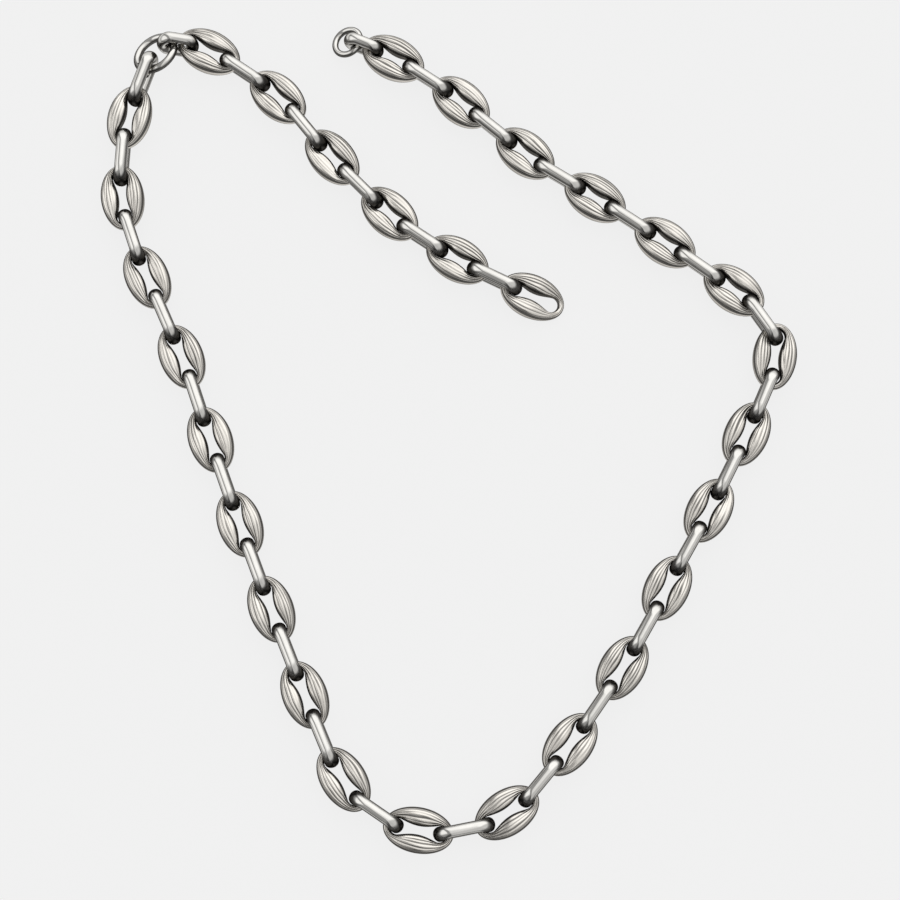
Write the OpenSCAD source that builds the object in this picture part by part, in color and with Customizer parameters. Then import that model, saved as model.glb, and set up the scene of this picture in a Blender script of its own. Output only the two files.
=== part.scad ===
// Coffee bean chain, laid open on a flat surface.
// Puffed oval beans with a slot alternate with oval wire connectors that stand on edge.
// The main strand and the short tail both start at the round clasp ring.
// The main strand ends in a small plain ring, the tail in a free bean.
// Millimetres, +Z up, the origin on the surface under the middle of the chain.

/* [Bean] */
// Length of a bean over its two end walls
bean_length = 16.1; // [15.9:0.1:16.3]
// Width of a bean over its two lobes
bean_width = 10.25; // [9.8:0.05:10.6]
// Height of the lobes half way along a bean
lobe_height = 4.4; // [3.6:0.1:4.8]
// Height of the two end walls
end_wall_height = 2.0; // [1.6:0.1:2.1]
// How full the lobes are across, from 2 for a plain oval to 4 for a cushion
lobe_fullness = 3.0; // [2:0.1:4]
// Width of the slot at its round ends
slot_width = 3.64; // [3.62:0.02:3.8]
// Width of the slot half way along, where the lobes bulge in
slot_waist = 2.3; // [1.8:0.1:3.0]

/* [Connector] */
// Thickness of a connector's wire
wire = 2.86; // [2.6:0.02:2.88]
// Length of a connector between its wire centres
connector_length = 11.4; // [11.2:0.1:11.6]
// Radius of a connector's bends, to the wire's centre
bend_radius = 2.85; // [2.8:0.05:2.95]

/* [Rings and end links] */
// Thickness of the wire of the two short end links
end_link_wire = 2.6; // [2.3:0.1:2.6]
// Length of an end link between its wire centres
end_link_length = 7.6; // [7.4:0.1:7.8]
// Radius of an end link's bends, to the wire's centre
end_link_bend = 2.5; // [2.5:0.05:2.6]
// Outer diameter of the clasp ring
clasp_ring_d = 11.84; // [11.7:0.02:12]
// Thickness of the clasp ring's wire
clasp_ring_wire = 1.84; // [1.7:0.02:1.86]
// Outer diameter of the small ring at the far end
end_ring_d = 8.2; // [7.8:0.1:8.6]
// Thickness of the small ring's wire
end_ring_wire = 1.5; // [1.3:0.1:1.6]

/* [Lie] */
// How far the beans' middles hang below the connectors' middles
bean_sag = 0.15; // [0.1:0.01:0.2]
// How far the clasp ring leans out of level, in degrees
clasp_ring_lean = 30.5; // [30:0.5:31]

/* [Hidden] */
// The lie of each strand, from the clasp ring on, one row per stretch of it:
// how many links it has (connectors and beans in turn), the heading of its first link in
// degrees, the turn from each link to the next, the slack in each bean's slot in mm, and how
// far the connectors' tops lean to the right of their heading in degrees
LINKS = 0;
HEADING = 1;
TURN = 2;
SLACK = 3;
LEAN = 4;
// The main strand begins with a connector and ends with a bean
main_lie = [
    [1, 251, 0, 0, 0],
    [4, 256, 11, 0.8, -3],
    [3, 295, -1, 0, 0],
    [9, 289, 0.5, 0, 0],
    [2, 304, 22, 0.1, 0],
    [3, 349, 22, 0.1, 0],
    [6, 50, 2.5, 0, 0],
    [5, 60, 1.5, 0.9, 0],
    [1, 82, 0, 1.3, 0],
    [1, 124, 0, 0, -8],
    [6, 143, 1, 1.3, -13],
    [3, 141, -1, 1.1, -13],
    [2, 146, 6, 1.5, -14],
];
// The tail begins and ends with a bean
tail_lie = [
    [4, 334, -8.5, 0.6, 10],
    [3, 312, 2.5, 1.4, 10],
    [4, 326, 4, 1.4, 7],
];
MAIN_FIRST_BEAN = 1;
TAIL_FIRST_BEAN = 0;
// Where the strands' first wire centres lie, from the middle of the clasp ring
main_start = [-0.9, -1.38];
tail_start = [8.86, 2.12];
// The small link between the clasp ring and the tail: its middle from the ring's middle,
// its height, and how it heads, dips away from the ring and leans to the right
clasp_link_at = [5.4, 1.95];
clasp_link_z = 4.32;
clasp_link_heading = 356;
clasp_link_dip = 15;
clasp_link_lean = -14.2;
// The clasp ring's level diameter, and the heading of the small link at the far end
clasp_ring_heading = 49;
end_link_heading = 158;

// Sections round a bean, those of a quarter of it and of its slot's quarter round, and the
// points round each section
sections = 24;
quarter = sections / 4;
round_sections = 2;
sides = 10;
$fn = 48;
// How late a bean's height swells from its end walls to its lobes
swell = 3;

// The slot's round ends, and where a taut connector's wire centre sits in them, from the
// bean's centre: its bend meets the end wall's edges before its wire meets the wall half way up
end_wall = 1.5;
bend_gap = 0.32;
slot_r = slot_width / 2;
slot_end = bean_length / 2 - end_wall - slot_r;
seat = bean_length / 2 - end_wall - bend_gap - wire / 2;

// Heights over the surface: connectors stand on it, and the beans' end walls ride in them
function connector_z(lean) = bend_radius * cos(lean) + wire / 2;
bean_z = connector_z(0) - bean_sag;

// The small link at the far end hangs by its upper wire on the last bean's end wall
rest = 0.12;
end_link_opening = end_link_bend - end_link_wire / 2;
end_link_z = bean_z + end_wall_height / 2 + rest - end_link_opening;

// The clasp ring leans with its far edge down on the surface
clasp_ring_r = (clasp_ring_d - clasp_ring_wire) / 2;
clasp_ring_z = clasp_ring_r * sin(clasp_ring_lean) + clasp_ring_wire / 2;

// The small ring lies on its end link's lower wire, with its far edge down on the surface
end_ring_r = (end_ring_d - end_ring_wire) / 2;
end_ring_hook = end_link_bend;
end_ring_top = end_link_z - end_link_opening + end_ring_wire / 2 + rest;
end_ring_lean = asin((end_ring_top - end_ring_wire / 2) / (2 * end_ring_r));
end_ring_z = (end_ring_top + end_ring_wire / 2) / 2;

function along(heading) = [cos(heading), sin(heading)];
function reach(half_x, half_y, heading) =
    [norm([half_x * cos(heading), half_y * sin(heading)]),
     norm([half_x * sin(heading), half_y * cos(heading)])];
function last(list) = list[len(list) - 1];
function column(list, k) = [for (row = list) row[k]];

// Headings, and slacks or leans, link by link, read out of a strand's table
function headings(lie) =
    [for (row = lie) for (i = [0 : row[LINKS] - 1]) row[HEADING] + i * row[TURN]];
function each_link(lie, k) =
    [for (row = lie) for (i = [0 : row[LINKS] - 1]) row[k]];
// A bean's step from wire to wire is shortened by its slack, a connector's is not
function is_bean(k, first_bean) = (k + first_bean) % 2 == 0;
function step(bean, slack) = bean ? 2 * seat - slack : connector_length;
// The wire centres that the links meet at, walked from the first one
function joints(start, lie, first_bean) =
    let (h = headings(lie), s = each_link(lie, SLACK), n = len(h))
    [for (k = 0, p = start; k <= n;
          p = p + (k < n ? step(is_bean(k, first_bean), s[k]) * along(h[k]) : [0, 0]), k = k + 1) p];
function middles(p) = [for (k = [0 : len(p) - 2]) (p[k] + p[k + 1]) / 2];

main_headings = headings(main_lie);
tail_headings = headings(tail_lie);
main_joints = joints(main_start, main_lie, MAIN_FIRST_BEAN);
tail_joints = joints(tail_start, tail_lie, TAIL_FIRST_BEAN);
main_middles = middles(main_joints);
tail_middles = middles(tail_joints);
main_last = len(main_headings) - 1;
tail_last = len(tail_headings) - 1;
main_beans = [for (k = [MAIN_FIRST_BEAN : 2 : main_last]) k];
tail_beans = [for (k = [TAIL_FIRST_BEAN : 2 : tail_last]) k];

end_link_at = last(main_joints) + end_link_length / 2 * along(end_link_heading);
end_ring_at = last(main_joints)
    + (end_link_length + end_ring_r * cos(end_ring_lean) - end_ring_hook) * along(end_link_heading);

// How far the outer pieces reach from their middles along X and Y
reaches = concat(
    [for (k = main_beans) reach(bean_length / 2, bean_width / 2, main_headings[k])],
    [reach(end_ring_r * cos(end_ring_lean), end_ring_r, end_link_heading)
     + end_ring_wire / 2 * [1, 1]]);
outer = concat([for (k = main_beans) main_middles[k]], [end_ring_at]);
lows = outer - reaches;
highs = outer + reaches;
// Middle of the whole chain's outline, which becomes the origin
centre = [min(column(lows, 0)) + max(column(highs, 0)),
          min(column(lows, 1)) + max(column(highs, 1))] / 2;

function main_name(b) = str("main_bean_", b < 9 ? "0" : "", b + 1);
function tail_name(b) = str("tail_bean_", b + 1);

// Half the slot's width at a distance from the bean's middle
function slot_half(x) = slot_r - (slot_r - slot_waist / 2) * pow(1 - pow(x / slot_end, 2), 2);
// A point of the slot's outline in its first quarter, from the end wall to the waist
function slot_quarter(f) =
    f <= round_sections
        ? let (turn = 90 * f / round_sections) [slot_end + slot_r * cos(turn), slot_r * sin(turn)]
        : let (x = slot_end * (quarter - f) / (quarter - round_sections)) [x, slot_half(x)];
function fold(i) = let (h = i % (2 * quarter)) h <= quarter ? h : 2 * quarter - h;
function slot_point(i) =
    let (t = 360 * i / sections, q = slot_quarter(fold(i)))
    [q[0] * sign(cos(t)), q[1] * sign(sin(t))];
function rim_point(i) =
    let (t = 360 * i / sections) [bean_length / 2 * cos(t), bean_width / 2 * sin(t)];
// Half the bean's height, low at the end walls and puffed at the lobes
function half_height(i) =
    end_wall_height / 2
    + (lobe_height - end_wall_height) / 2 * pow(abs(sin(360 * i / sections)), swell);
// How far a section's skin has risen at the share u of its way from the middle to an edge:
// a plain oval at the end walls, a fuller one at the lobes
function rise(i, u) =
    let (full = 2 + (lobe_fullness - 2) * abs(sin(360 * i / sections)))
    pow(1 - pow(abs(u), full), 1 / full);
// One point of a bean's skin: section i from slot to rim, point j round it
function skin_point(i, j) =
    let (a = slot_point(i), b = rim_point(i), turn = 360 * j / sides,
         p = a + (b - a) * (1 + cos(turn)) / 2)
    [p[0], p[1], half_height(i) * rise(i, cos(turn)) * sign(sin(turn))];

// The dip about its inner end wall that brings a bean's outer end down to the surface
function dip_to_surface() =
    min([for (i = [0 : quarter])
        let (x = (bean_length - end_wall) / 2 + (slot_point(i)[0] + rim_point(i)[0]) / 2,
             h = half_height(i))
        asin(bean_z / norm([x, h])) - atan2(h, x)]);

// A puffed oval bean along X with its slot open from top to bottom
module bean_shape() {
    points = [for (i = [0 : sections - 1]) for (j = [0 : sides - 1]) skin_point(i, j)];
    faces = [for (i = [0 : sections - 1]) for (j = [0 : sides - 1])
        let (i2 = (i + 1) % sections, j2 = (j + 1) % sides,
             a = i * sides + j, b = i * sides + j2, c = i2 * sides + j2, d = i2 * sides + j)
        each [[a, b, c], [a, c, d]]];
    polyhedron(points, faces);
}

// An oval wire link along X, standing on edge
module oval_link(length, bend, wire_d) {
    straight = length - 2 * bend;
    for (side = [-1, 1]) {
        translate([side * straight / 2, 0, 0])
            rotate([90, 0, 0]) rotate([0, 0, -side * 90])
                rotate_extrude(angle = 180) translate([bend, 0]) circle(d = wire_d);
        translate([-straight / 2, 0, side * bend])
            rotate([0, 90, 0]) cylinder(h = straight, d = wire_d);
    }
}

module ring(radius, wire_d) {
    rotate_extrude() translate([radius, 0]) circle(d = wire_d);
}

// Sets a piece down at its place, turned to its heading, its nose dipped and its top leaning
module lay(at, z, heading, dip = 0, lean = 0) {
    translate([at[0] - centre[0], at[1] - centre[1], z])
        rotate([0, 0, heading]) rotate([0, dip, 0]) rotate([lean, 0, 0]) children();
}

module main_bean(b) {
    k = main_beans[b];
    color("silver") lay(main_middles[k], bean_z, main_headings[k]) bean_shape();
}

// The tail's last bean has no link beyond it, so its free end drops to the surface
module tail_bean(b) {
    k = tail_beans[b];
    dip = k == tail_last ? dip_to_surface() : 0;
    drop = (bean_length - end_wall) / 2 * sin(dip);
    color("silver") lay(tail_middles[k], bean_z - drop, tail_headings[k], dip) bean_shape();
}

module connectors(lie, middles, first) {
    headings = headings(lie);
    leans = each_link(lie, LEAN);
    color("gainsboro") for (k = [first : 2 : len(headings) - 1])
        lay(middles[k], connector_z(leans[k]), headings[k], 0, leans[k])
            oval_link(connector_length, bend_radius, wire);
}

module main_connectors() {
    connectors(main_lie, main_middles, 1 - MAIN_FIRST_BEAN);
}

module tail_connectors() {
    connectors(tail_lie, tail_middles, 1 - TAIL_FIRST_BEAN);
}

module clasp_ring_link() {
    color("gainsboro")
        lay(clasp_link_at, clasp_link_z, clasp_link_heading, clasp_link_dip, clasp_link_lean)
            oval_link(end_link_length, end_link_bend, end_link_wire);
}

module end_ring_link() {
    color("gainsboro") lay(end_link_at, end_link_z, end_link_heading)
        oval_link(end_link_length, end_link_bend, end_link_wire);
}

module clasp_ring() {
    color("lightgray") lay([0, 0], clasp_ring_z, clasp_ring_heading + 90, clasp_ring_lean)
        ring(clasp_ring_r, clasp_ring_wire);
}

module end_ring() {
    color("lightgray") lay(end_ring_at, end_ring_z, end_link_heading, end_ring_lean)
        ring(end_ring_r, end_ring_wire);
}

for (b = [0 : len(main_beans) - 1]) main_bean(b);
for (b = [0 : len(tail_beans) - 1]) tail_bean(b);
main_connectors();
tail_connectors();
clasp_ring_link();
end_ring_link();
clasp_ring();
end_ring();
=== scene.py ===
"""Dresses the coffee bean chain: fluted beans, wire connectors on edge, small links and rings."""

import math

import bpy
import numpy as np
from mathutils import Matrix, Vector


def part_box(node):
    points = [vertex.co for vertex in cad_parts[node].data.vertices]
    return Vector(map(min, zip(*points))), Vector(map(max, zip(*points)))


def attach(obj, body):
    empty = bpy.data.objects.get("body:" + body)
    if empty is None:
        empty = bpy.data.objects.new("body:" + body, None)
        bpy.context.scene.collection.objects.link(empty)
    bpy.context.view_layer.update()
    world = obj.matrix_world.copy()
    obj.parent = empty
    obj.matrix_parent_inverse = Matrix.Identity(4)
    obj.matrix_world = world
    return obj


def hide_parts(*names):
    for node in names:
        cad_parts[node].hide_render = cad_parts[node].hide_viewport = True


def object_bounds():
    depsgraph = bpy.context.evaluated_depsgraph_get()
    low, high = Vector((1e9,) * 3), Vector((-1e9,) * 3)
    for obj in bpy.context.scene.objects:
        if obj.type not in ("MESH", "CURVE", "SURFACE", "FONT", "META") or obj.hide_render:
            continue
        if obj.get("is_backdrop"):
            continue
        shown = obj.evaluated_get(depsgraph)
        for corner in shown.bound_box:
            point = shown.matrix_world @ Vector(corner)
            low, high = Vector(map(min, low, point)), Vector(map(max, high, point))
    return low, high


bl_info = {
    "name": "Coffee bean chain",
    "version": (1, 0, 0),
    "blender": (4, 5, 0),
    "location": "View3D > Sidebar > Bean Chain",
    "description": "Builds fluted beans, wire connectors and rings over the chain's solids",
    "category": "Object",
}

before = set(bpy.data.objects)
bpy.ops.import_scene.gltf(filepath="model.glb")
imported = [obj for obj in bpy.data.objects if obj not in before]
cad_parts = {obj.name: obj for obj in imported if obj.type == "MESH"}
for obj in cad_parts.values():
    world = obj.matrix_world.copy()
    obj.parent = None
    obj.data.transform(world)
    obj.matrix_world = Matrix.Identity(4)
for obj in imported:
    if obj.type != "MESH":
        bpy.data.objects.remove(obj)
SOLID_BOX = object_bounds()
MM = 0.001
TURN = 2 * math.pi

# The dressed pieces are this much smaller than their solids. The whole then lies inside the
# solids' box, though the lobes' bulges and the wider bends stand out of their own solids
SNUG = 0.993

BEAN_NODES = sorted(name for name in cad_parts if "_bean_" in name)
CONNECTOR_NODES = ("main_connectors", "tail_connectors")
END_LINK_NODES = ("clasp_ring_link", "end_ring_link")
RING_NODES = ("clasp_ring", "end_ring")


# Places read from the solids


class Place:
    """Where one loose solid lies: its middle, its axes from longest to shortest, and its spans."""

    def __init__(self, corners, areas, middles):
        weights = areas / areas.sum()
        mean = weights @ middles
        spread = (middles - mean).T @ ((middles - mean) * weights[:, None])
        _, vectors = np.linalg.eigh(spread)
        axes = vectors[:, ::-1].T
        reach = corners @ axes.T
        low, high = reach.min(0), reach.max(0)
        self.axes = axes
        self.spans = (high - low) * SNUG
        self.middle = (low + high) / 2 @ axes

    def turned(self, order):
        """Euler angles that bring local X, Y and Z onto the axes of the given order, Z upwards."""
        x, y, z = (Vector(self.axes[k]) for k in order)
        if z.z < 0:
            z.negate()
        if x.x < 0:
            x.negate()
        y = z.cross(x)
        return Matrix((x, y, z)).transposed().to_euler()


def places_in(node):
    """The places of a node's loose solids."""

    # The solids' meshes are loose triangles, so their corners are merged before they are sorted
    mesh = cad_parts[node].data
    mesh.calc_loop_triangles()
    points = np.array([v.co for v in mesh.vertices])
    corners = np.array([t.vertices for t in mesh.loop_triangles])
    _, same = np.unique(np.round(points, 7), axis=0, return_inverse=True)
    corners = same.reshape(-1)[corners]
    merged = np.zeros((same.max() + 1, 3))
    merged[same.reshape(-1)] = points

    # Every corner takes the lowest number of those it is joined to, until none changes
    solid = np.arange(len(merged))
    while True:
        lowest = solid[corners].min(1)
        joined = solid.copy()
        for k in range(3):
            np.minimum.at(joined, corners[:, k], lowest)
        joined = joined[joined]
        if (joined == solid).all():
            break
        solid = joined

    a, b, c = (merged[corners[:, k]] for k in range(3))
    areas = np.linalg.norm(np.cross(b - a, c - a), axis=1) / 2
    middles = (a + b + c) / 3
    found = []
    for label in np.unique(solid[corners[:, 0]]):
        own = solid[corners[:, 0]] == label
        found.append(Place(merged[np.unique(corners[own])], areas[own], middles[own]))
    return found


def in_a_ring(point):
    """Whether a point, seen from above, lies in the box of one of the two rings."""
    for node in RING_NODES:
        low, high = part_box(node)
        if all(low[k] <= point[k] <= high[k] for k in range(2)):
            return True
    return False


BEAN_SPANS = places_in("main_bean_01")[0].spans
CONNECTOR_SPANS = places_in("main_connectors")[0].spans
END_LINK_SPANS = places_in("end_ring_link")[0].spans


# Node trees


class Flow:
    """A node's output that adds Math nodes as it is reckoned with."""

    def __init__(self, bench, socket):
        self.bench = bench
        self.socket = socket

    def math(self, operation, *others):
        values = {k: v for k, v in enumerate((self, *others))}
        return self.bench.add("ShaderNodeMath", {"operation": operation}, values)

    def __add__(self, other):
        return self.math("ADD", other)

    def __radd__(self, other):
        return self.math("ADD", other)

    def __sub__(self, other):
        return self.math("SUBTRACT", other)

    def __rsub__(self, other):
        return (self * -1).math("ADD", other)

    def __mul__(self, other):
        return self.math("MULTIPLY", other)

    def __rmul__(self, other):
        return self.math("MULTIPLY", other)

    def __truediv__(self, other):
        return self.math("DIVIDE", other)

    def __rtruediv__(self, other):
        return (self ** -1).math("MULTIPLY", other)

    def __pow__(self, other):
        return self.math("POWER", other)

    def __abs__(self):
        return self.math("ABSOLUTE")

    def sin(self):
        return self.math("SINE")

    def cos(self):
        return self.math("COSINE")

    def below(self, other):
        """1 where it is less than the other, else 0."""
        return self.math("LESS_THAN", other)

    def step(self, low, high):
        """Rises smoothly from 0 at low to 1 at high."""
        settings = {"interpolation_type": "SMOOTHSTEP"}
        return self.bench.add("ShaderNodeMapRange", settings, {0: self, 1: low, 2: high})

    def part(self, axis):
        """One coordinate of a vector."""
        return self.bench.add("ShaderNodeSeparateXYZ", {}, {0: self}, axis)


class Bench:
    """A node tree, and what adds nodes to it."""

    def __init__(self, tree):
        self.tree = tree

    def add(self, kind, settings=None, sockets=None, output=0):
        """A new node's output, once its settings and its sockets' values or links are set."""
        node = self.tree.nodes.new(kind)
        for name, value in (settings or {}).items():
            setattr(node, name, value)
        for key, value in (sockets or {}).items():
            self.feed(node.inputs[key], value)
        return Flow(self, node.outputs[output]) if len(node.outputs) else node

    def feed(self, socket, value):
        if isinstance(value, Flow):
            self.tree.links.new(value.socket, socket)
        else:
            socket.default_value = value

    def mix(self, factor, one, two):
        """Two colours mixed by a factor."""
        settings = {"data_type": "RGBA"}
        sockets = {0: factor, 6: shade(one), 7: shade(two)}
        return self.add("ShaderNodeMix", settings, sockets, 2)

    def choose(self, factor, one, two):
        """Two numbers mixed by a factor."""
        return self.add("ShaderNodeMix", {"data_type": "FLOAT"}, {0: factor, 2: one, 3: two})

    def vector(self, x, y, z):
        return self.add("ShaderNodeCombineXYZ", {}, {0: x, 1: y, 2: z})

    def attribute(self, name, output):
        return self.add("ShaderNodeAttribute", {"attribute_name": name}, {}, output)

    def noise(self, where, scale, detail):
        sockets = {"Vector": where, "Scale": scale, "Detail": detail}
        return self.add("ShaderNodeTexNoise", {}, sockets, "Fac")


def shade(value):
    """A colour with its alpha, or the flow it already is."""
    return value if isinstance(value, Flow) else (*value, 1.0)


class Shaping(Bench):
    """A geometry tree with named inputs that ends in plain geometry with one material."""

    def __init__(self, name, sizes):
        super().__init__(bpy.data.node_groups.new(name, "GeometryNodeTree"))
        faces = self.tree.interface
        faces.new_socket("Places", in_out="INPUT", socket_type="NodeSocketGeometry")
        for size, kind in sizes.items():
            faces.new_socket(size, in_out="INPUT", socket_type=kind)
        faces.new_socket("Pieces", in_out="OUTPUT", socket_type="NodeSocketGeometry")
        self.inputs = self.tree.nodes.new("NodeGroupInput")

    def size(self, name):
        """One of the tree's named inputs."""
        return Flow(self, self.inputs.outputs[name])

    def store(self, shape, name, kind, domain, value):
        """The shape with a value written on it as an attribute."""
        settings = {"data_type": kind, "domain": domain}
        sockets = {"Geometry": shape, "Name": name, "Value": value}
        return self.add("GeometryNodeStoreNamedAttribute", settings, sockets)

    def stored(self, name, kind="FLOAT_VECTOR"):
        """An attribute that was stored before."""
        return self.add("GeometryNodeInputNamedAttribute", {"data_type": kind}, {"Name": name})

    def copies(self, shape):
        """One copy of the shape at each place, turned as the place says, made real."""
        smooth = self.add("GeometryNodeSetShadeSmooth", {}, {"Geometry": shape})
        sockets = {
            "Points": self.size("Places"), "Instance": smooth, "Rotation": self.stored("turn")}
        copies = self.add("GeometryNodeInstanceOnPoints", {}, sockets)
        return self.add("GeometryNodeRealizeInstances", {}, {"Geometry": copies})

    def set_out(self, real):
        """The tree's last nodes: one material, and the way out."""
        finished = self.add("GeometryNodeSetMaterial", {}, {
            "Geometry": real, "Material": self.size("Material")})
        out = self.tree.nodes.new("NodeGroupOutput")
        self.feed(out.inputs["Pieces"], finished)
        return self.tree


LENGTH = "NodeSocketFloat"
NUMBER = "NodeSocketFloat"
COUNT = "NodeSocketInt"
MATERIAL = "NodeSocketMaterial"

# On a bean, where smooth steps start and end. "Along" goes from 0 at an end wall to 1 at the
# middle of a lobe, "out" from 0 at the slot to 1 at the rim, "rise" from 0 at the mid plane
# to 1 at the crown.
FLUTES_ALONG = (0.06, 0.35)
FLUTES_OUT_FROM = (0.06, 0.2)
FLUTES_OUT_TO = (0.8, 0.9)
FLANK_SHADE_RISE_FROM = (0.34, 0.44)
FLANK_SHADE_RISE_TO = (0.76, 0.86)
SLOT_SHADE_OUT = (0.01, 0.07)
END_SHADE_MORE = 0.13
NEAR_END = (0.45, 0.95)

# The line of painted shade inside the rim, in parts of its distance from the rim
RIM_LINE_FROM = (0.7, 0.95)
RIM_LINE_TO = (1.05, 1.3)
RIM_LINE_DARKNESS = 0.75

# How sharply the slot narrows to its waist, and how fast the lobes sink towards the end walls
WAIST_CURVE = 1.3
SINK_CURVE = 3

# Flutes are bold where their noise is high, and faint elsewhere
FLUTE_SHARPNESS = 3.5
FAINT_FLUTE = 0.2
BOLD_NOISE = (0.32, 0.56)

# Points of a bean's grid that are closer than this are one and the same
BEAN_MERGE = 1e-7


def bean_tree():
    """A puffed oval with an open slot, low at its end walls, fluted lengthwise."""
    tree = Shaping("Bean", {
        "Length": LENGTH, "Width": LENGTH, "Lobe Height": LENGTH, "Wall Height": LENGTH,
        "End Wall": LENGTH, "Slot Width": LENGTH, "Slot Waist": LENGTH,
        "Fullness": NUMBER, "Rim Line": LENGTH, "Flutes": NUMBER, "Flute Depth": LENGTH,
        "Waver": NUMBER, "Seed": NUMBER, "Sections": COUNT, "Sides": COUNT,
        "Material": MATERIAL,
    })
    size = tree.size
    grid = tree.add("GeometryNodeMeshGrid", {}, {
        "Size X": 1.0, "Size Y": 1.0, "Vertices X": size("Sections"), "Vertices Y": size("Sides")})
    at = tree.add("GeometryNodeInputPosition")
    u = at.part(0) + 0.5
    v = at.part(1) + 0.5
    around = u * TURN
    across = v * TURN
    cos_a, sin_a = around.cos(), around.sin()
    along = abs(sin_a)

    # The slot's outline: each quarter of it goes in six parts, two round its end and four along
    # its side, which bulges in towards the waist
    parts = 6
    end_parts = 2
    slot_r = size("Slot Width") / 2
    slot_end = size("Length") / 2 - size("End Wall") - slot_r
    gone = abs(cos_a).math("MINIMUM", 1.0).math("ARCCOSINE") * (parts * 2 / math.pi)
    round_turn = gone * (math.pi / 2 / end_parts)
    side_x = slot_end * (parts - gone) / (parts - end_parts)
    bulge = (1 - (side_x / slot_end) ** 2).math("MAXIMUM", 0.0) ** WAIST_CURVE
    side_y = slot_r - (slot_r - size("Slot Waist") / 2) * bulge
    on_end = gone.below(float(end_parts))
    slot_x = tree.choose(on_end, side_x, slot_end + slot_r * round_turn.cos()) * cos_a.math("SIGN")
    slot_y = tree.choose(on_end, side_y, slot_r * round_turn.sin()) * sin_a.math("SIGN")

    # The rim's oval, and the puffed skin between the two
    rim_x = size("Length") / 2 * cos_a
    rim_y = size("Width") / 2 * sin_a
    out = (across.cos() + 1) / 2
    puff = along ** SINK_CURVE
    half = (size("Wall Height") + (size("Lobe Height") - size("Wall Height")) * puff) / 2
    x = slot_x + (rim_x - slot_x) * out
    y = slot_y + (rim_y - slot_y) * out

    # A plain oval across at the end walls, a fuller one at the lobes
    full = (size("Fullness") - 2) * along + 2
    rise = (1 - abs(across.cos()) ** full).math("MAXIMUM", 0.0) ** (1 / full)

    # Flutes run lengthwise over both faces, waver a little and fade out at the slot, rim and
    # ends. Each lobe and each bean reads its own stretch of the noise.
    side = sin_a.math("SIGN")
    seed = size("Seed")
    drift_at = tree.vector(cos_a * 0.7, side * 5.1 + seed * 3.7, out * 3.0)
    drift = tree.noise(drift_at, 1.0, 1.0)
    lines = (out + (drift - 0.5) * size("Waver")) * size("Flutes")
    wave = (lines * TURN).cos() * -0.5 + 0.5
    uneven_at = tree.vector(side * 9.3 + cos_a * 0.5, seed * 5.3, lines * 0.9)
    uneven = tree.noise(uneven_at, 1.0, 1.0)
    fade = along.step(*FLUTES_ALONG) * out.step(*FLUTES_OUT_FROM) * (1 - out.step(*FLUTES_OUT_TO))
    bold = wave ** FLUTE_SHARPNESS * uneven.step(*BOLD_NOISE)
    cut = (bold + wave * FAINT_FLUTE) * fade
    sunk = cut * size("Flute Depth")
    z = (half * rise - sunk) * across.sin().math("SIGN")

    # Lines of painted shade and painted dark reflection: one low on each flank, and one just inside
    # the rim
    span = ((rim_x - slot_x) ** 2 + (rim_y - slot_y) ** 2) ** 0.5
    inwards = (1 - out) * span
    flank_shade_line = rise.step(*FLANK_SHADE_RISE_FROM) * (1 - rise.step(*FLANK_SHADE_RISE_TO))
    line_from = (size("Rim Line") * part for part in RIM_LINE_FROM)
    line_to = (size("Rim Line") * part for part in RIM_LINE_TO)
    line = inwards.step(*line_from) * (1 - inwards.step(*line_to)) * RIM_LINE_DARKNESS

    # Painted shade on the slot's inner wall, reaching further out near the ends
    shade_from, shade_to = SLOT_SHADE_OUT
    near_end = abs(x).step(*(slot_end * part for part in NEAR_END))
    inside = 1 - out.step(shade_from, shade_to + near_end * END_SHADE_MORE)

    shape = tree.store(grid, "UVMap", "FLOAT2", "CORNER", tree.vector(u, v, 0.0))
    # The flutes' depth is kept, so that shade can be painted in the grooves
    shape = tree.store(shape, "groove", "FLOAT", "POINT", cut)
    shape = tree.store(shape, "inside", "FLOAT", "POINT", inside)
    shape = tree.store(shape, "rim", "FLOAT", "POINT", flank_shade_line.math("MAXIMUM", line))
    shape = tree.add("GeometryNodeSetPosition", {}, {
        "Geometry": shape, "Position": tree.vector(x, y, z)})
    closed = tree.add("GeometryNodeMergeByDistance", {}, {
        "Geometry": shape, "Distance": BEAN_MERGE})
    return tree.set_out(tree.copies(closed))


# On a wire link, where smooth steps start and end. "Round" goes from 0 where a bend starts to
# 1 at the link's end, "up" from 0 for a surface that stands upright to 1 for a level one.
# Where the painted shade on a diving bend starts and where it is full
BEND_SHADE_ROUND = (0.0, 0.55)
BEND_SHADE_UP_TO = (0.66, 0.82)
FLARE_ROUND = (0.15, 0.75)
EDGE_UP_FROM = (0.16, 0.24)
EDGE_UP_TO = (0.52, 0.66)
PLAIN_EDGE_MORE = 0.2

# Points of a wire's path that are closer than this are one and the same
PATH_MERGE = 1e-6


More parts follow.
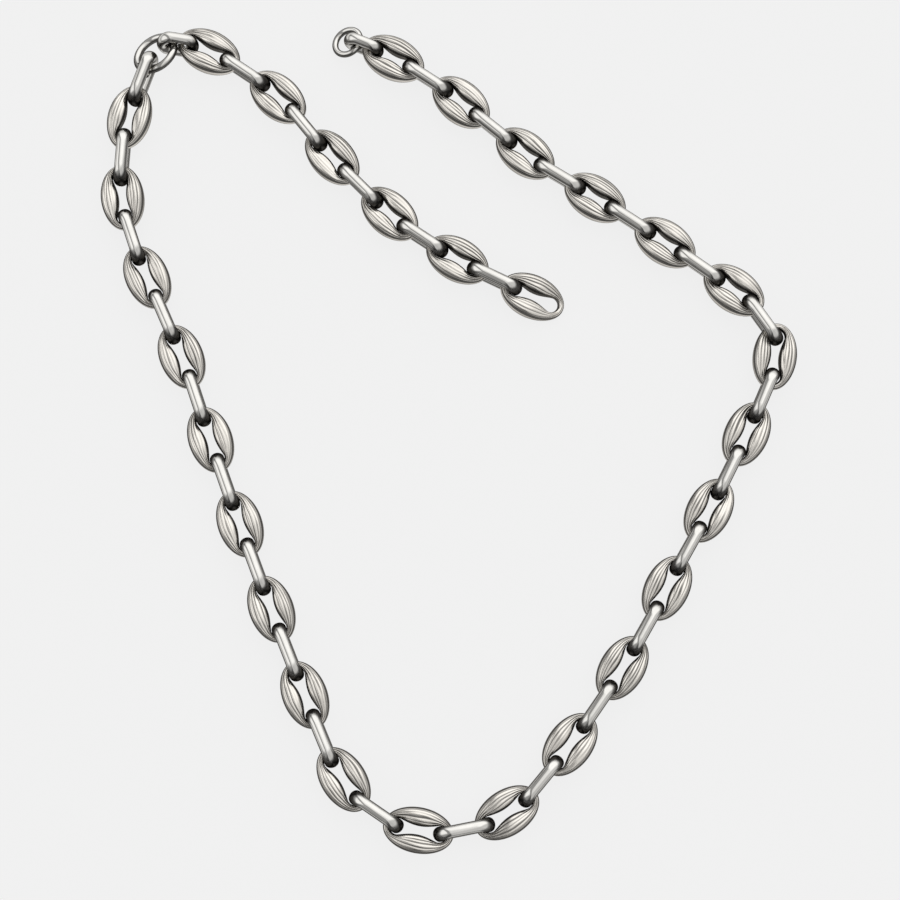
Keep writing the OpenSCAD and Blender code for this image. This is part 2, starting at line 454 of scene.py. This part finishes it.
def link_tree():
    """A round wire bent into an oval that stands on edge, with shade painted on its bends where
    they dive.
    """
    tree = Shaping("Wire link", {
        "Length": LENGTH, "Height": LENGTH, "Wire": LENGTH, "Flare": NUMBER,
        "Bend Points": COUNT, "Sides": COUNT, "Bend Shade": NUMBER, "Material": MATERIAL,
    })
    size = tree.size
    bend = (size("Height") - size("Wire")) / 2
    long_side = size("Length") - size("Wire")
    oblong = tree.add("GeometryNodeCurvePrimitiveQuadrilateral", {"mode": "RECTANGLE"}, {
        "Width": long_side, "Height": bend * 2})
    path = tree.add("GeometryNodeFilletCurve", {"mode": "POLY"}, {
        "Curve": oblong, "Radius": bend, "Limit Radius": True, "Count": size("Bend Points")})

    # The fillets meet in doubled points, which would leave the wire open there
    path = tree.add("GeometryNodeCurveToMesh", {}, {"Curve": path})
    path = tree.add("GeometryNodeMergeByDistance", {}, {"Geometry": path, "Distance": PATH_MERGE})
    path = tree.add("GeometryNodeMeshToCurve", {}, {"Mesh": path})
    path = tree.add("GeometryNodeTransform", {}, {
        "Geometry": path, "Rotation": (math.pi / 2, 0, 0)})
    ring = tree.add("GeometryNodeCurvePrimitiveCircle", {"mode": "RADIUS"}, {
        "Radius": size("Wire") / 2, "Resolution": size("Sides")})
    wire = tree.add("GeometryNodeCurveToMesh", {}, {"Curve": path, "Profile Curve": ring})

    # The bends get painted shade where they dive into the slots, and flare sideways
    at = tree.add("GeometryNodeInputPosition")
    facing = tree.add("GeometryNodeInputNormal")
    past = (abs(at.part(0)) - (long_side / 2 - bend)) / bend
    steep = 1 - facing.part(2).step(*BEND_SHADE_UP_TO)
    dive = past.step(*BEND_SHADE_ROUND) * steep * size("Bend Shade")
    shape = tree.store(wire, "dive", "FLOAT", "POINT", dive)
    shape = tree.store(shape, "own", "FLOAT_VECTOR", "POINT", at)
    flare = 1 + past.step(*FLARE_ROUND) * size("Flare")
    flared = tree.vector(at.part(0), at.part(1) * flare, at.part(2))
    shape = tree.add("GeometryNodeSetPosition", {}, {"Geometry": shape, "Position": flared})
    links = tree.copies(shape)

    # A bend that holds a ring gets no painted shade
    ends = tree.stored("ends")
    at_low_end = tree.stored("own").part(0).below(0.0)
    own_end = tree.choose(at_low_end, ends.part(1), ends.part(0))
    dive = tree.stored("dive", "FLOAT") * own_end
    links = tree.store(links, "dive", "FLOAT", "POINT", dive)

    # Painted dark lines along both flanks, standing in for shade and dark reflections there,
    # broader on the wires that have no shade painted on their bends
    up = abs(facing.part(2))
    plain = 1 - size("Bend Shade")
    low_edge = up.step(*EDGE_UP_FROM).math("MAXIMUM", plain)
    edge_to = (level + plain * PLAIN_EDGE_MORE for level in EDGE_UP_TO)
    edges = low_edge * (1 - up.step(*edge_to))
    links = tree.store(links, "rim", "FLOAT", "POINT", edges)
    return tree.set_out(links)


def made_by(tree, name, places, order, sizes):
    """A plain mesh of the tree's pieces at the places.

    Each place carries its turn, and for both of its ends whether that end is free of a ring.
    """
    points = bpy.data.meshes.new(name + "_places")
    points.from_pydata([tuple(p.middle) for p in places], [], [])
    turn = points.attributes.new("turn", "FLOAT_VECTOR", "POINT")
    ends = points.attributes.new("ends", "FLOAT_VECTOR", "POINT")
    for k, place in enumerate(places):
        angles = place.turned(order)
        turn.data[k].vector = angles
        reach = np.array(angles.to_matrix() @ Vector((place.spans[0] / 2, 0, 0)))
        low_end, high_end = place.middle - reach, place.middle + reach
        ends.data[k].vector = (not in_a_ring(low_end), not in_a_ring(high_end), 0)
    piece = bpy.data.objects.new(name, points)
    bpy.context.scene.collection.objects.link(piece)
    modifier = piece.modifiers.new("Shape", "NODES")
    modifier.node_group = tree
    sockets = {s.name: s.identifier for s in tree.interface.items_tree if s.in_out == "INPUT"}
    for size, value in sizes.items():
        modifier[sockets[size]] = value
    shaped = piece.evaluated_get(bpy.context.evaluated_depsgraph_get())
    mesh = bpy.data.meshes.new_from_object(shaped)
    mesh.name = name
    piece.modifiers.remove(modifier)
    piece.data = mesh
    bpy.data.meshes.remove(points)
    return piece


def hand_over(piece, nodes):
    """The piece rides on the chain and stands for its solids."""
    if not piece.data.polygons:
        raise RuntimeError(piece.name + " came out empty")
    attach(piece, "root")
    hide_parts(*nodes)


# Finishes


# Clouds and specks in the steel: how fine their noise is, where clouds begin and are full,
# and how much of the tint is left in the clouds and the streaks
CLOUD_SCALE = 260.0
SPECK_SCALE = 2600.0
CLOUDS = (0.3, 0.75)
CLOUD_DEPTH = 0.6
CLOUD_TINT = 0.86
STREAK_DEPTH = 0.35
STREAK_TINT = 0.6

# How strong the bumps of streaks and specks are, and how high
RELIEF = 0.25
RELIEF_HEIGHT = 0.02 * MM
SPECK_RELIEF = 0.25

# How much rougher the steel is where it is clouded, specked and where shade is painted on it
CLOUD_ROUGHNESS = 0.08
SPECK_ROUGHNESS = 0.05
PAINTED_SHADE_ROUGHNESS = 0.25

# The steel mirrors less at its outlines
EDGE_TINT = (0.25, 0.245, 0.24, 1.0)

# How dark the painted shade gets at each spot: bends diving into the slots, slot walls, flank and
# rim lines (painted shade and painted dark reflection), flute grooves
PAINTED_SHADE_DEPTHS = {"dive": 1.0, "inside": 0.85, "rim": 0.94, "groove": 0.78}


def steel(name, tint, dark, roughness, streaks):
    """Polished steel: soft drawn streaks, faint clouding, and shade painted in wherever the shapes
    mark it.
    """
    material = bpy.data.materials.get(name) or bpy.data.materials.new(name)
    material.use_nodes = True
    bench = Bench(material.node_tree)
    bench.tree.nodes.clear()
    spot = bench.add("ShaderNodeTexCoord", {}, {}, "Object")
    clouds = bench.noise(spot, CLOUD_SCALE, 3.0)
    specks = bench.noise(spot, SPECK_SCALE, 2.0)
    lines = streaks(bench)
    painted_shade_amount = painted_shade(bench)
    clouded = tuple(CLOUD_TINT * part for part in tint)
    streaked = tuple(STREAK_TINT * part for part in tint)
    bright = bench.mix(clouds.step(*CLOUDS) * CLOUD_DEPTH, tint, clouded)
    bright = bench.mix(lines * STREAK_DEPTH, bright, streaked)
    # Painted shade: the colour goes to the dark tint where the masks say
    colour = bench.mix(painted_shade_amount, bright, dark)
    rough = roughness + (clouds - 0.5) * CLOUD_ROUGHNESS + (specks - 0.5) * SPECK_ROUGHNESS
    rough = rough + painted_shade_amount * PAINTED_SHADE_ROUGHNESS
    bump = bench.add("ShaderNodeBump", {}, {
        "Strength": RELIEF, "Distance": RELIEF_HEIGHT, "Height": lines + specks * SPECK_RELIEF})
    surface = bench.add("ShaderNodeBsdfPrincipled", {}, {
        "Base Color": colour, "Roughness": rough, "Normal": bump, "Metallic": 1.0,
        "Specular Tint": EDGE_TINT})
    bench.add("ShaderNodeOutputMaterial", {}, {"Surface": surface})
    return material


def bean_streaks(bench):
    """Fine lines that run the way the flutes do."""
    uv = bench.add("ShaderNodeTexCoord", {}, {}, "UV")
    fine = bench.vector(uv.part(0) * 9.0, uv.part(1) * 120.0, 0.0)
    return bench.noise(fine, 1.0, 2.0).step(0.45, 0.75)


def wire_streaks(bench):
    """Faint drawing lines along the wire."""
    own = bench.attribute("own", "Vector")
    fine = bench.vector(own.part(0) * 180.0, own.part(1) * 5200.0, own.part(2) * 900.0)
    return bench.noise(fine, 1.0, 2.0).step(0.5, 0.8) * 0.6


def painted_shade(bench):
    """How much shade is painted on the steel, from the masks that the shapes store."""
    first, *others = (bench.attribute(spot, "Fac") * depth for spot, depth in PAINTED_SHADE_DEPTHS.items())
    for other in others:
        first = first.math("MAXIMUM", other)
    return first


# Settings


def length(name, text, metres):
    return bpy.props.FloatProperty(
        name=name, description=text, default=metres, min=0.0, precision=5,
        subtype="DISTANCE", unit="LENGTH")


def factor(name, text, value, most=1.0):
    return bpy.props.FloatProperty(
        name=name, description=text, default=value, min=0.0, max=most, subtype="FACTOR")


def count(name, text, number, least, most):
    return bpy.props.IntProperty(
        name=name, description=text, default=number, min=least, max=most)


def colour(name, text, rgb):
    return bpy.props.FloatVectorProperty(
        name=name, description=text, default=rgb, min=0.0, max=1.0, size=3, subtype="COLOR")


class BeanSizes(bpy.types.PropertyGroup):
    """Sizes of the beans"""

    length: length("Length", "Length of a bean over its end walls", float(BEAN_SPANS[0]))
    width: length("Width", "Width of a bean over its lobes", float(BEAN_SPANS[1]))
    lobe_height: length("Lobe height", "Height of the lobes", float(BEAN_SPANS[2]))
    wall_height: length("Wall height", "Height of the end walls", 2.0 * MM)
    end_wall: length("End wall", "Thickness of the end walls", 1.5 * MM)
    slot_width: length("Slot width", "Width of the slot at its ends", 3.64 * MM)
    slot_waist: length("Slot waist", "Width of the slot half way along", 1.85 * MM)
    fullness: bpy.props.FloatProperty(
        name="Fullness", description="How full the lobes are across, 2 for a plain oval",
        default=3.0, min=2.0)
    # The rim line is painted shade and painted dark reflection
    rim_line: length("Rim line", "How far inside the rim its dark line runs", 0.62 * MM)
    flute_depth: length("Flute depth", "Depth of the flutes", 0.12 * MM)
    flutes: bpy.props.FloatProperty(
        name="Flutes", description="Flutes on one lobe", default=5.3, min=1.0)
    waver: factor("Waver", "How far the flutes stray sideways", 0.26)
    sections: count("Sections", "Points round the bean's outline", 97, 9, 257)
    sides: count("Sides", "Points across a lobe, over and under", 129, 9, 257)


class WireSizes(bpy.types.PropertyGroup):
    """Sizes of the connectors, links and rings that the solids don't give"""

    # At this flare some bends cut into the beans, by up to 0.2 mm. At 0 every link is clear
    flare: factor("Flare", "How much wider the connectors' bends are than the wire", 0.19, 0.22)
    # Painted shade on the connectors' bends where they dive into the slots
    bend_shade: factor("Painted bend shade", "How dark the bends are where they dive", 1.0)
    bend_points: count("Bend points", "Points along each quarter bend", 14, 4, 64)
    sides: count("Sides", "Points round the wire", 32, 8, 64)


class SteelFinish(bpy.types.PropertyGroup):
    """Colours and gloss of the steel"""

    bean_tint: colour("Bean steel", "Colour of the beans where they are clean", (0.92, 0.88, 0.815))
    wire_tint: colour("Wire steel", "Colour of the wires where they are clean", (0.80, 0.785, 0.75))
    # The colour of the painted shade on the steel
    dark: colour("Painted shade", "Colour of the steel where it has gone dark", (0.075, 0.072, 0.068))
    satin: factor("Satin", "Roughness of the beans", 0.19)
    polish: factor("Polish", "Roughness of the wires", 0.08)


class StageSettings(bpy.types.PropertyGroup):
    """The floor and the camera"""

    floor: colour("Floor", "Colour of the floor", (0.07, 0.07, 0.07))
    glow: factor("Glow", "Light that comes up through the floor", 0.822)
    distance: length("Distance", "From the camera to the middle of the view", 0.4897)
    tilt: bpy.props.FloatProperty(
        name="Tilt", description="How far the camera leans from straight down",
        default=math.radians(11), subtype="ANGLE", unit="ROTATION")
    lens: bpy.props.FloatProperty(
        name="Lens", description="Focal length on a 36 mm sensor", default=84.0, min=10.0,
        unit="CAMERA")
    look_at: bpy.props.FloatVectorProperty(
        name="Look at", description="Point on the floor in the middle of the view",
        default=(0.88 * MM, -5.62 * MM, 0.0), size=3, subtype="XYZ", unit="LENGTH")


# Stage


# Brightness of the studio that the steel mirrors, what its parts add to it or take from it,
# and the plain backdrop that the camera sees
ROOM = 0.855
BOX = 0.4
FILL = 0.25
GAP = 0.52
BELOW = 0.24
HORIZON = 0.62
HORIZON_IN_BOX = 0.3
BACKDROP = 0.87


def studio_light():
    """A soft room of light: a broad box to the upper right, and a dark gap and a fill on the left.

    It falls off to the lower right and near the horizon.
    """
    world = bpy.data.worlds.new("Soft studio")
    bpy.context.scene.world = world
    world.use_nodes = True
    bench = Bench(world.node_tree)
    bench.tree.nodes.clear()
    way = bench.add("ShaderNodeTexCoord", {}, {}, "Generated")
    x, y, z = way.part(0), way.part(1), way.part(2)
    upper_right = (x + y) * math.sqrt(0.5)
    lower_right = (x - y) * math.sqrt(0.5)
    left = x * -0.94 + y * -0.34
    below = lower_right.step(0.15, 0.5)
    box = upper_right.step(-0.05, 0.3) * (1 - below * 0.8)
    fill = left.step(0.44, 0.54) * y.step(-0.55, -0.2)
    gap = left.step(0.17, 0.25) * (1 - fill)
    low = 1 - z.step(0.08, 0.42)
    light = ROOM + box * BOX - gap * GAP + fill * FILL - below * BELOW
    light = light * (1 - low * (HORIZON - box * HORIZON_IN_BOX))
    seen = bench.add("ShaderNodeLightPath", {}, {}, "Is Camera Ray")
    tone = bench.choose(seen, light, BACKDROP)
    back = bench.add("ShaderNodeBackground", {}, {
        "Color": (1.0, 1.0, 1.0, 1.0), "Strength": tone})
    bench.add("ShaderNodeOutputWorld", {}, {"Surface": back})


def pale_floor(tint, glow):
    """A wide flat sheet of pale matte board, lit from below so that shade hardly shows on it."""
    mesh = bpy.data.meshes.new("floor")
    half = 1.6
    square = [(-half, -half, 0), (half, -half, 0), (half, half, 0), (-half, half, 0)]
    mesh.from_pydata(square, [], [(0, 1, 2, 3)])
    floor = bpy.data.objects.new("floor", mesh)
    bpy.context.scene.collection.objects.link(floor)
    material = bpy.data.materials.new("Pale board")
    material.use_nodes = True
    bench = Bench(material.node_tree)
    bench.tree.nodes.clear()
    matte = bench.add("ShaderNodeBsdfPrincipled", {}, {
        "Base Color": shade(tint), "Roughness": 0.9, "Specular IOR Level": 0.0,
        "Emission Strength": glow, "Emission Color": (1.0, 1.0, 1.0, 1.0)})
    bench.add("ShaderNodeOutputMaterial", {}, {"Surface": matte})
    mesh.materials.append(material)
    floor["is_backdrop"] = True


def photo_camera(stage):
    """A long lens looking down from the loop's rounded end."""
    data = bpy.data.cameras.new("view")
    data.lens = stage.lens
    data.sensor_width = 36.0
    data.clip_start = 0.01
    data.clip_end = 20.0
    camera = bpy.data.objects.new("view", data)
    bpy.context.scene.collection.objects.link(camera)
    back = Vector((0, -math.sin(stage.tilt), math.cos(stage.tilt)))
    camera.rotation_euler = (stage.tilt, 0.0, 0.0)
    camera.location = Vector(stage.look_at) + back * stage.distance
    bpy.context.scene.camera = camera


# Operators


def build_links(context, nodes, spans, bend_shade):
    """Wire links of the given spans over each node's solids."""
    sizes = context.scene.wire_sizes
    finish = context.scene.chain_finish
    tree = bpy.data.node_groups.get("Wire link") or link_tree()
    material = steel(
        "Drawn wire steel", finish.wire_tint, finish.dark, finish.polish, wire_streaks)
    for node in nodes:
        values = {
            "Length": float(spans[0]), "Height": float(spans[1]), "Wire": float(spans[2]),
            # Bend shade scales the bends' painted shade, and also turns their flare on
            "Flare": sizes.flare * bend_shade, "Bend Shade": sizes.bend_shade * bend_shade,
            "Bend Points": sizes.bend_points, "Sides": sizes.sides, "Material": material,
        }
        links = made_by(tree, "drawn_" + node, places_in(node), (0, 2, 1), values)
        hand_over(links, [node])


class CHAIN_OT_beans(bpy.types.Operator):
    """Build every bean of the main strand and the tail"""

    bl_idname = "chain.beans"
    bl_label = "Fluted beans"

    def execute(self, context):
        sizes = context.scene.bean_sizes
        finish = context.scene.chain_finish
        tree = bean_tree()
        material = steel(
            "Fluted bean steel", finish.bean_tint, finish.dark, finish.satin, bean_streaks)
        for k, node in enumerate(BEAN_NODES):
            values = {
                "Length": sizes.length, "Width": sizes.width, "Lobe Height": sizes.lobe_height,
                "Wall Height": sizes.wall_height, "End Wall": sizes.end_wall,
                "Slot Width": sizes.slot_width, "Slot Waist": sizes.slot_waist,
                "Fullness": sizes.fullness, "Rim Line": sizes.rim_line, "Waver": sizes.waver,
                "Flutes": sizes.flutes, "Flute Depth": sizes.flute_depth, "Seed": float(k),
                "Sections": sizes.sections, "Sides": sizes.sides, "Material": material,
            }
            bean = made_by(tree, "fluted_" + node, places_in(node), (0, 1, 2), values)
            hand_over(bean, [node])
        return {"FINISHED"}


class CHAIN_OT_connectors(bpy.types.Operator):
    """Build the wire connectors between the beans"""

    bl_idname = "chain.connectors"
    bl_label = "Wire connectors"

    def execute(self, context):
        build_links(context, CONNECTOR_NODES, CONNECTOR_SPANS, 1.0)
        return {"FINISHED"}


class CHAIN_OT_end_links(bpy.types.Operator):
    """Build the two small links next to the rings"""

    bl_idname = "chain.end_links"
    bl_label = "Small end links"

    def execute(self, context):
        build_links(context, END_LINK_NODES, END_LINK_SPANS, 1.0)
        return {"FINISHED"}


class CHAIN_OT_rings(bpy.types.Operator):
    """Build the clasp ring and the small end ring"""

    bl_idname = "chain.rings"
    bl_label = "Rings"

    def execute(self, context):
        for node in RING_NODES:
            build_links(context, (node,), places_in(node)[0].spans, 0.0)
        return {"FINISHED"}


class CHAIN_OT_stage(bpy.types.Operator):
    """Set up the floor, the studio light and the camera"""

    bl_idname = "chain.stage"
    bl_label = "Stage"

    def execute(self, context):
        stage = context.scene.stage_settings
        studio_light()
        pale_floor(tuple(stage.floor), stage.glow)
        photo_camera(stage)
        context.scene.view_settings.view_transform = "Standard"
        return {"FINISHED"}


class CHAIN_PT_panel(bpy.types.Panel):
    """Lists the chain's pieces and the stage"""

    bl_label = "Coffee bean chain"
    bl_idname = "CHAIN_PT_panel"
    bl_space_type = "VIEW_3D"
    bl_region_type = "UI"
    bl_category = "Bean Chain"

    def draw(self, context):
        for group in SETTINGS:
            box = self.layout.box()
            for name in SETTINGS[group].__annotations__:
                box.prop(getattr(context.scene, group), name)
        for operator in OPERATORS:
            self.layout.operator(operator.bl_idname)


SETTINGS = {
    "bean_sizes": BeanSizes, "wire_sizes": WireSizes,
    "chain_finish": SteelFinish, "stage_settings": StageSettings,
}
OPERATORS = (
    CHAIN_OT_stage, CHAIN_OT_beans, CHAIN_OT_connectors, CHAIN_OT_end_links, CHAIN_OT_rings,
)
CLASSES = (*SETTINGS.values(), *OPERATORS, CHAIN_PT_panel)


def register():
    for cls in CLASSES:
        bpy.utils.register_class(cls)
    for name, group in SETTINGS.items():
        setattr(bpy.types.Scene, name, bpy.props.PointerProperty(type=group))


def unregister():
    for name in SETTINGS:
        delattr(bpy.types.Scene, name)
    for cls in reversed(CLASSES):
        bpy.utils.unregister_class(cls)


def corners(box):
    """A box's two corners as plain lists."""
    return [list(map(float, corner)) for corner in box]


def main():
    """Registers the classes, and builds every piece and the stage."""
    register()
    bpy.ops.chain.stage()
    bpy.ops.chain.beans()
    bpy.ops.chain.connectors()
    bpy.ops.chain.end_links()
    bpy.ops.chain.rings()
    {"cad": corners(SOLID_BOX), "visual": corners(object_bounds())}


if __name__ == "__main__":
    main()
